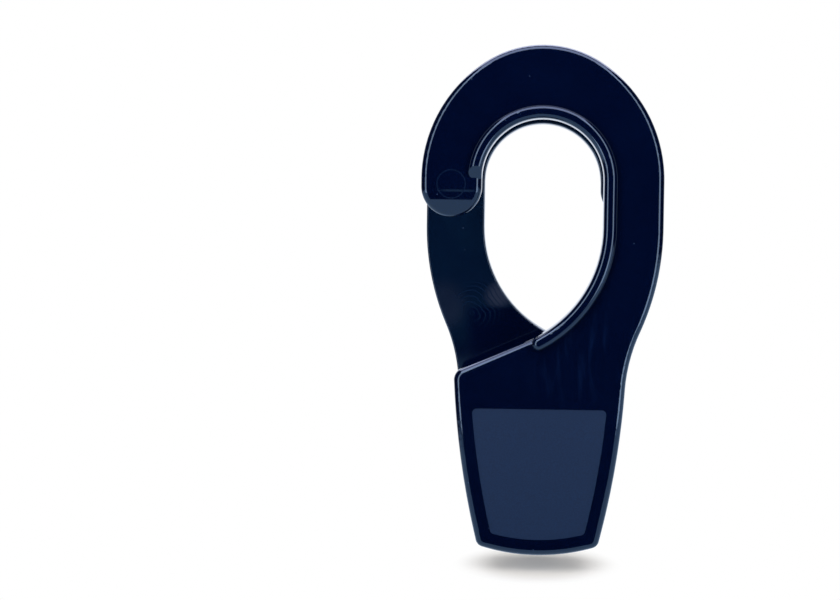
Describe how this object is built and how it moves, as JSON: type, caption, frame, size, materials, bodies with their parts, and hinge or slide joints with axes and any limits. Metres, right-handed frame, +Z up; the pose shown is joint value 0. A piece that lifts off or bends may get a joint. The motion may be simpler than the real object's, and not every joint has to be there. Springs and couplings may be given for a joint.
{
  "type": "fender hanger",
  "caption": "Moulded plastic clip that hangs a boat fender from a guard rail: mirrored hook plates on a web, with toothed jaws that grip the fender's rope.",
  "frame": {"origin": "middle of the loops: on the axis of their half-round tops, halfway between the two plates", "axes": "+Y along the axis of the loops, which is the rail's axis when the hanger is in use; +Z up, away from the foot; X across the plates, with the front plate at -Y and its hook tip at -X"},
  "size_m": [0.0812, 0.0444, 0.1716],
  "materials": {
    "gloss_navy": "glossy, as moulded, with a matt panel on each outer face"
  },
  "bodies": {
    "root": {"hanger": "gloss_navy"}
  },
  "joints": []
}
